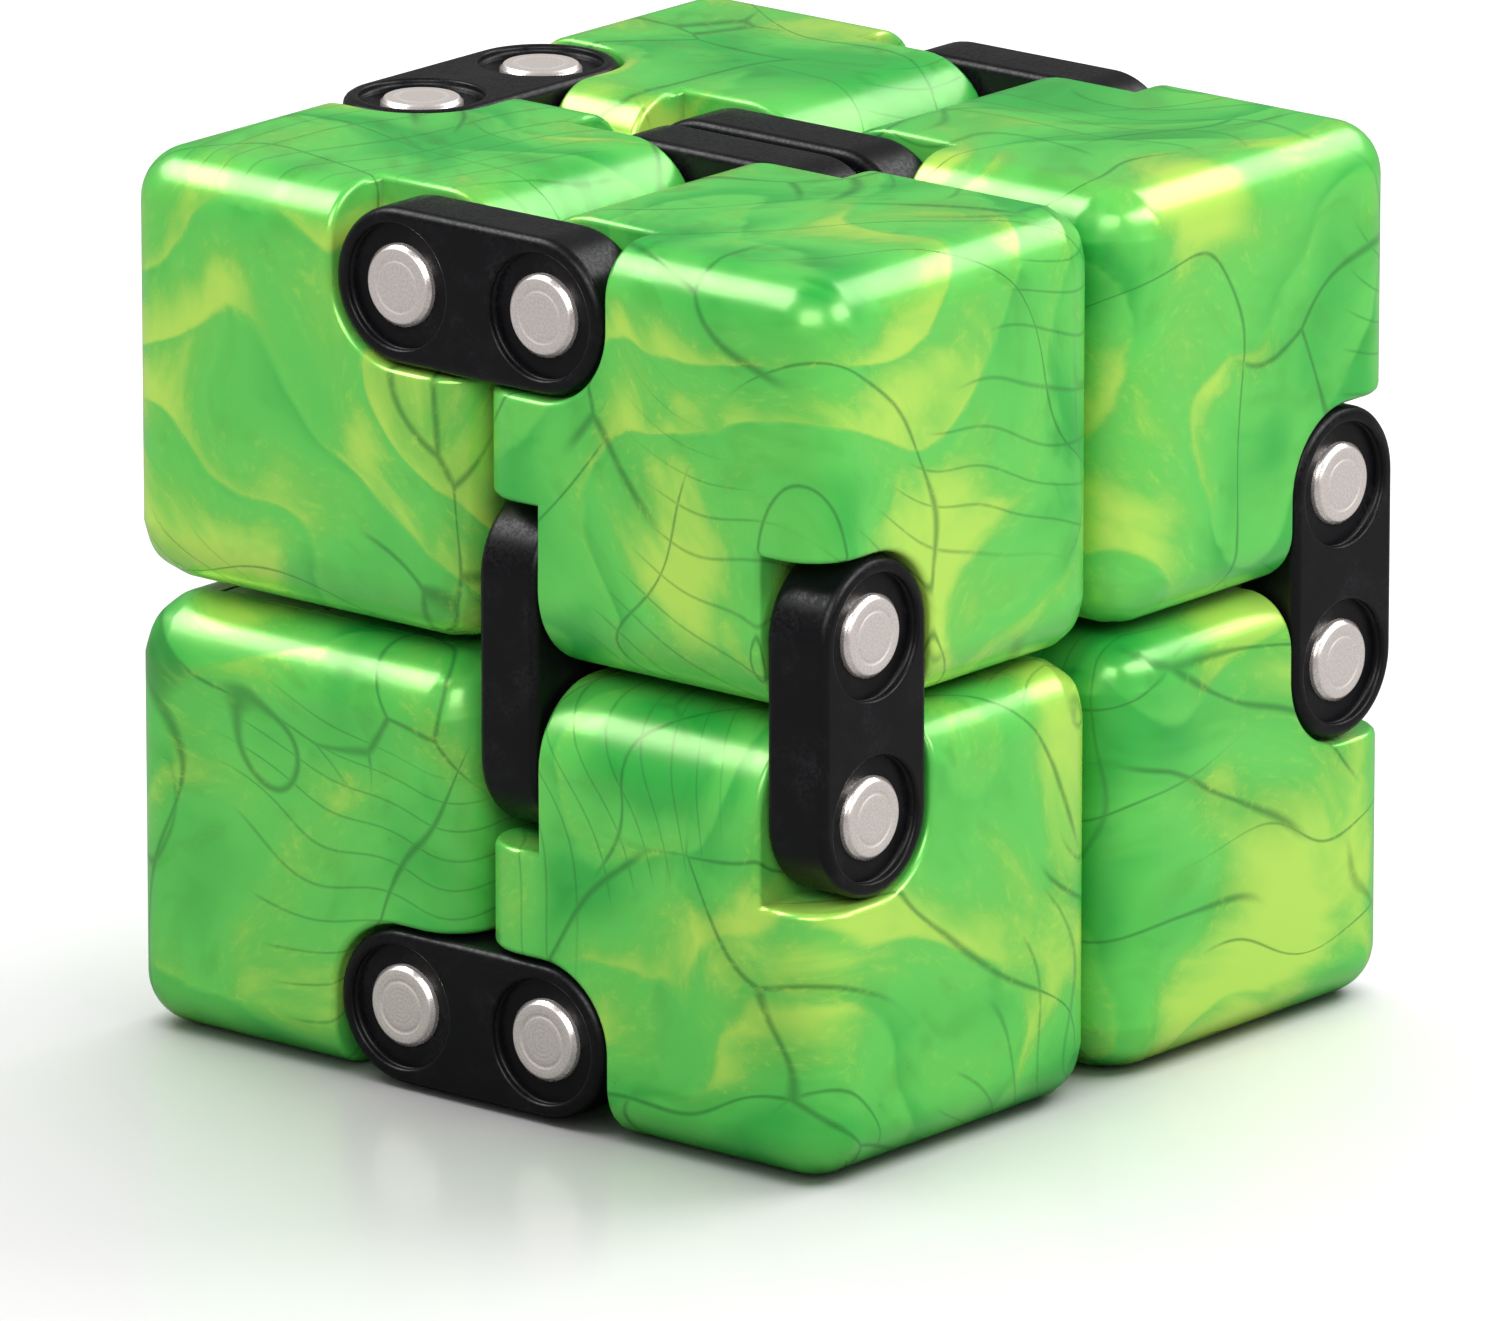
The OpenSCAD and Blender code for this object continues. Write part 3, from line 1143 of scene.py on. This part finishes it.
def plate_pair_tree():
    """The two plates of a hinge: round-ended, with a recess and a hole for each pin."""
    tree, given = new_group(
        "Plate pair",
        "GeometryNodeTree",
        shared_inputs()
        + [
            ("Across", "NodeSocketVector", None),
            ("Thickness", "NodeSocketFloat", 0.0),
            ("Pin Spacing", "NodeSocketFloat", 0.0),
            ("Hole Radius", "NodeSocketFloat", 0.0),
            ("Recess Radius", "NodeSocketFloat", 0.0),
            ("Recess Depth", "NodeSocketFloat", 0.0),
            ("Lip Share", "NodeSocketFloat", 0.35),
        ],
        [("Geometry", "NodeSocketGeometry")],
    )
    reach = times(tree, given["Pin Spacing"], 0.5, label="Pin from the middle")
    width = times(tree, given["Radius"], 2.0)
    outline = node(
        tree,
        "GeometryNodeCurvePrimitiveQuadrilateral",
        {"Width": maths(tree, "ADD", given["Pin Spacing"], width), "Height": width},
    ).outputs["Curve"]
    outline = node(
        tree,
        "GeometryNodeFilletCurve",
        {
            "Curve": outline,
            "Count": times(tree, given["Sides"], 0.25),
            "Radius": times(tree, given["Radius"], 0.9999),
        },
        "Round ends",
        mode="POLY",
    ).outputs["Curve"]
    sheet = node(tree, "GeometryNodeFillCurve", {"Curve": outline}, mode="NGONS").outputs["Mesh"]
    lifted = node(
        tree,
        "GeometryNodeExtrudeMesh",
        {"Mesh": sheet, "Offset Scale": given["Thickness"], "Individual": False},
        mode="FACES",
    ).outputs["Mesh"]
    under = node(tree, "GeometryNodeFlipFaces", {"Mesh": sheet}).outputs["Mesh"]
    closed = node(tree, "GeometryNodeJoinGeometry")
    tree.links.new(lifted, closed.inputs["Geometry"])
    tree.links.new(under, closed.inputs["Geometry"])
    body = node(
        tree,
        "GeometryNodeMergeByDistance",
        {"Geometry": closed.outputs["Geometry"], "Distance": WELD},
    ).outputs["Geometry"]

    left = node(tree, "ShaderNodeCombineXYZ", {"X": times(tree, reach, -1.0)}).outputs[0]
    right = node(tree, "ShaderNodeCombineXYZ", {"X": reach}).outputs[0]
    centres = node(
        tree,
        "GeometryNodeMeshLine",
        {"Count": 2, "Start Location": left, "Offset": right},
        "Pin centres",
        mode="END_POINTS",
    ).outputs["Mesh"]

    def drill(target, radius, start, label):
        """Cuts a round hole at each pin centre, from a height upwards."""
        deep = times(tree, given["Thickness"], 2.0)
        bit = node(
            tree,
            "GeometryNodeMeshCylinder",
            {"Vertices": given["Sides"], "Radius": radius, "Depth": deep},
        ).outputs["Mesh"]
        middle = maths(tree, "ADD", start, given["Thickness"])
        lift = node(tree, "ShaderNodeCombineXYZ", {"Z": middle}).outputs[0]
        bit = node(tree, "GeometryNodeTransform", {"Geometry": bit, "Translation": lift})
        bits = node(
            tree,
            "GeometryNodeInstanceOnPoints",
            {"Points": centres, "Instance": bit.outputs["Geometry"]},
        ).outputs["Instances"]
        bits = node(tree, "GeometryNodeRealizeInstances", {"Geometry": bits}).outputs["Geometry"]
        return node(
            tree,
            "GeometryNodeMeshBoolean",
            {"Mesh 1": target, "Mesh 2": bits},
            label,
            operation="DIFFERENCE",
            solver="EXACT",
        ).outputs["Mesh"]

    recess_floor = maths(tree, "SUBTRACT", given["Thickness"], given["Recess Depth"])
    body = drill(body, given["Recess Radius"], recess_floor, "Recesses")
    body = drill(body, given["Hole Radius"], times(tree, given["Thickness"], -0.5), "Pin holes")

    # the outer edges get the full roundness, the recess lips a share of it, the holes none
    angle = node(tree, "GeometryNodeInputMeshEdgeAngle").outputs["Signed Angle"]
    convex = compare(tree, angle, 0.7)
    place = node(tree, "GeometryNodeInputPosition").outputs["Position"]
    parts = node(tree, "ShaderNodeSeparateXYZ", {"Vector": place}).outputs
    from_pin = maths(tree, "SUBTRACT", maths(tree, "ABSOLUTE", parts["X"]), reach)
    round_pin = node(tree, "ShaderNodeCombineXYZ", {"X": from_pin, "Y": parts["Y"]}).outputs[0]
    round_pin = vectors(tree, "LENGTH", round_pin)
    by_pin = compare(tree, round_pin, times(tree, given["Recess Radius"], 1.04), "LESS_THAN")
    at_hole = compare(tree, round_pin, times(tree, given["Hole Radius"], 1.1), "LESS_THAN")
    weight = node(
        tree, "GeometryNodeSwitch", {"Switch": by_pin, "False": 1.0, "True": given["Lip Share"]},
        "Lip or rim", input_type="FLOAT",
    ).outputs[0]
    weight = node(
        tree, "GeometryNodeSwitch", {"Switch": at_hole, "False": weight, "True": 0.0},
        "Not the holes", input_type="FLOAT",
    ).outputs[0]
    weight = node(
        tree, "GeometryNodeSwitch", {"Switch": convex, "False": 0.0, "True": weight},
        "Only outer corners", input_type="FLOAT",
    ).outputs[0]
    body = node(
        tree,
        "GeometryNodeStoreNamedAttribute",
        {"Geometry": body, "Name": "bevel_weight_edge", "Value": weight},
        "Weigh the edges",
        data_type="FLOAT",
        domain="EDGE",
    ).outputs["Geometry"]
    body = node(tree, "GeometryNodeSetShadeSmooth", {"Geometry": body}).outputs["Geometry"]

    # each plate's underside sits on its point, and its recesses face away from the other
    stood = place_copies(tree, given, body)
    index = node(tree, "GeometryNodeInputIndex").outputs["Index"]
    facing = maths(tree, "MULTIPLY_ADD", maths(tree, "COMPARE", index, 0, 0.1), -2.0, 1.0)
    up = vectors(tree, "SCALE", given["Axis"], scale=facing, label="Away from the other plate")
    aim = node(tree, "FunctionNodeAlignRotationToVector", {"Vector": up}, axis="Z")
    aim = node(
        tree,
        "FunctionNodeAlignRotationToVector",
        {"Rotation": aim.outputs["Rotation"], "Vector": given["Across"]},
        axis="X",
        pivot_axis="Z",
    )
    tree.links.new(aim.outputs["Rotation"], stood.inputs["Rotation"])
    finish_tree(tree, stood.outputs["Instances"], given["Material"])
    return tree


def link_values(link):
    """Where a hinge's pins are, and which way its axis points."""
    pins = [middle_and_size(pin) for pin in pins_of_link(link)]
    axis = long_axis(pins[0][1])
    along = Vector([1.0 if i == axis else 0.0 for i in range(3)])
    return [at for at, _ in pins], along


# ---------------------------------------------------------------- operators


class FIDGET_OT_finishes(bpy.types.Operator):
    """Build the shared grain and marbling that the finishes use"""

    bl_idname = "fidget.finishes"
    bl_label = "Shared finishes"

    def execute(self, context):
        fine_grain_group()
        marbled_pearl_group()
        return {"FINISHED"}


class FIDGET_OT_cubelets(bpy.types.Operator):
    """Mould the eight marbled shells and their inset covers"""

    bl_idname = "fidget.cubelets"
    bl_label = "Marbled cubelets"

    def execute(self, context):
        settings = context.scene.fidget_cubelets
        for name in CUBELETS:
            cubelet = Cubelet(name)
            finish = marbled_plastic(name, settings)
            for piece, of_node in (
                (moulded_shell(cubelet, settings), name + "_shell"),
                (cover(cubelet, settings), name + "_lid"),
            ):
                piece.data.materials.clear()
                piece.data.materials.append(finish)
                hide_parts(of_node)
                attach(piece, name + "_cubelet")
        return {"FINISHED"}


class FIDGET_OT_plates(bpy.types.Operator):
    """Make the black link plates, two to a hinge"""

    bl_idname = "fidget.plates"
    bl_label = "Link plates"

    def execute(self, context):
        settings = context.scene.fidget_links
        tree = plate_pair_tree()
        finish = satin_black(settings)
        for link in LINKS:
            pins, along = link_values(link)
            middle = (pins[0] + pins[1]) / 2
            half = FIRST.half - PLATE_SINK - PLATE_THICKNESS
            made = run_tree(
                link + "_plates",
                tree,
                {
                    "First": middle - half * along,
                    "Second": middle + half * along,
                    "Axis": along,
                    "Across": (pins[1] - pins[0]).normalized(),
                    "Radius": PLATE_RADIUS,
                    "Sides": settings.sides,
                    "Material": finish,
                    "Thickness": PLATE_THICKNESS,
                    "Pin Spacing": (pins[1] - pins[0]).length,
                    "Hole Radius": PIN_RADIUS,
                    "Recess Radius": settings.recess_radius,
                    "Recess Depth": settings.recess_depth,
                    "Lip Share": settings.lip_radius / settings.rim_radius,
                },
            )
            soften(made, settings.rim_radius, 4)
            level_shading(made)
            bake(made)
            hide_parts(link + "_outer_plate", link + "_inner_plate")
            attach(made, link)
        return {"FINISHED"}


class FIDGET_OT_pins(bpy.types.Operator):
    """Turn the metal pins, two to a hinge"""

    bl_idname = "fidget.pins"
    bl_label = "Turned pins"

    def execute(self, context):
        settings = context.scene.fidget_links
        tree = pin_pair_tree()
        finish = turned_nickel(settings)
        for link in LINKS:
            pins, along = link_values(link)
            made = run_tree(
                link + "_pin_pair",
                tree,
                {
                    "First": pins[0],
                    "Second": pins[1],
                    "Axis": along,
                    "Radius": PIN_RADIUS,
                    "Sides": settings.sides,
                    "Material": finish,
                    "Length": PIN_LENGTH,
                    "Chamfer": settings.chamfer,
                    "Ring Depth": settings.ring_depth,
                },
            )
            bake(made)
            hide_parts(*pins_of_link(link))
            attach(made, link)
        return {"FINISHED"}


def area_light(name, azimuth, elevation, distance, width, height, power):
    """A soft light round the cube's middle, at angles like the camera's, facing the cube."""
    centre = Vector((0, 0, (CAD_BOX[0][2] + CAD_BOX[1][2]) / 2))
    light = bpy.data.lights.new(name, "AREA")
    light.shape = "RECTANGLE"
    light.size, light.size_y = width, height
    light.energy = power
    made = bpy.data.objects.new(name, light)
    turn, rise = math.radians(azimuth), math.radians(elevation)
    back = Vector(
        (math.sin(turn) * math.cos(rise), -math.cos(turn) * math.cos(rise), math.sin(rise))
    )
    made.location = centre + back * distance
    made.rotation_euler = (-back).to_track_quat("-Z", "Y").to_euler()
    bpy.context.scene.collection.objects.link(made)
    return made


class FIDGET_OT_stage(bpy.types.Operator):
    """Set up the pale floor, the soft lights and the camera"""

    bl_idname = "fidget.stage"
    bl_label = "Stage"

    def execute(self, context):
        settings = context.scene.fidget_stage
        scene = context.scene
        centre = Vector((0, 0, (CAD_BOX[0][2] + CAD_BOX[1][2]) / 2))

        bm = bmesh.new()
        bmesh.ops.create_grid(bm, x_segments=1, y_segments=1, size=4.0)
        floor = made_object("floor", bm)
        floor.data.materials.append(floor_paper(settings))

        world = bpy.data.worlds.new("Studio")
        world.use_nodes = True
        background = world.node_tree.nodes["Background"]
        background.inputs["Color"].default_value = (1, 1, 1, 1)
        background.inputs["Strength"].default_value = settings.daylight
        scene.world = world

        left = area_light("left_softbox", -62, 46, 0.5, 0.30, 0.22, 2.1)
        right = area_light("right_softbox", 105, 36, 0.5, 0.30, 0.22, 2.1)
        area_light("back_softbox", 162, 40, 0.5, 0.35, 0.18, 1.1)
        fill = area_light("front_softbox", 30, 35, 0.6, 0.45, 0.30, 3.0)
        overhead = area_light("floor_softbox", 215, 70, 0.6, 1.0, 1.0, 8.6)
        # the near lights are flagged off the floor, and a high one behind is kept to it, so the
        # cube's soft shadow falls forwards
        for title, state, lights in (
            ("off_the_floor", "EXCLUDE", (left, right, fill)),
            ("only_the_floor", "INCLUDE", (overhead,)),
        ):
            flagged = bpy.data.collections.new(title)
            flagged.objects.link(floor)
            flagged.collection_objects[0].light_linking.link_state = state
            for light in lights:
                light.light_linking.receiver_collection = flagged

        lens = bpy.data.cameras.new("camera")
        lens.lens = settings.lens
        lens.sensor_width = 36
        lens.clip_start, lens.clip_end = 0.01, 20
        camera = bpy.data.objects.new("camera", lens)
        turn, rise = settings.azimuth, settings.elevation
        back = Vector(
            (math.sin(turn) * math.cos(rise), -math.cos(turn) * math.cos(rise), math.sin(rise))
        )
        across = Vector((math.cos(turn), math.sin(turn), 0))
        moved = across * settings.right + back.cross(across) * settings.up
        camera.location = centre + back * settings.distance + moved
        camera.rotation_euler = (-back).to_track_quat("-Z", "Y").to_euler()
        scene.collection.objects.link(camera)
        scene.camera = camera
        scene.view_settings.view_transform = "Standard"
        return {"FINISHED"}


class FIDGET_PT_sidebar(bpy.types.Panel):
    """The cube's pieces, in the order that they are made"""

    bl_idname = "FIDGET_PT_sidebar"
    bl_label = "Infinity cube"
    bl_space_type = "VIEW_3D"
    bl_region_type = "UI"
    bl_category = "Infinity cube"

    def draw(self, context):
        for title, steps, settings in (
            ("Cubelets", ("fidget.finishes", "fidget.cubelets"), context.scene.fidget_cubelets),
            ("Links", ("fidget.plates", "fidget.pins"), context.scene.fidget_links),
            ("Stage", ("fidget.stage",), context.scene.fidget_stage),
        ):
            column = self.layout.column(align=True)
            column.label(text=title)
            for setting in settings.__annotations__:
                column.prop(settings, setting)
            for step in steps:
                column.operator(step)


SETTINGS = {
    "fidget_cubelets": CubeletSettings,
    "fidget_links": LinkSettings,
    "fidget_stage": StageSettings,
}
OPERATORS = (
    FIDGET_OT_finishes,
    FIDGET_OT_cubelets,
    FIDGET_OT_plates,
    FIDGET_OT_pins,
    FIDGET_OT_stage,
)


def register():
    for group in (*SETTINGS.values(), *OPERATORS, FIDGET_PT_sidebar):
        bpy.utils.register_class(group)
    for name, group in SETTINGS.items():
        setattr(bpy.types.Scene, name, PointerProperty(type=group))


def unregister():
    for name in SETTINGS:
        delattr(bpy.types.Scene, name)
    for group in reversed((*SETTINGS.values(), *OPERATORS, FIDGET_PT_sidebar)):
        bpy.utils.unregister_class(group)


def main():
    register()
    bpy.ops.fidget.finishes()
    bpy.ops.fidget.cubelets()
    bpy.ops.fidget.plates()
    bpy.ops.fidget.pins()
    bpy.ops.fidget.stage()


if __name__ == "__main__":
    main()
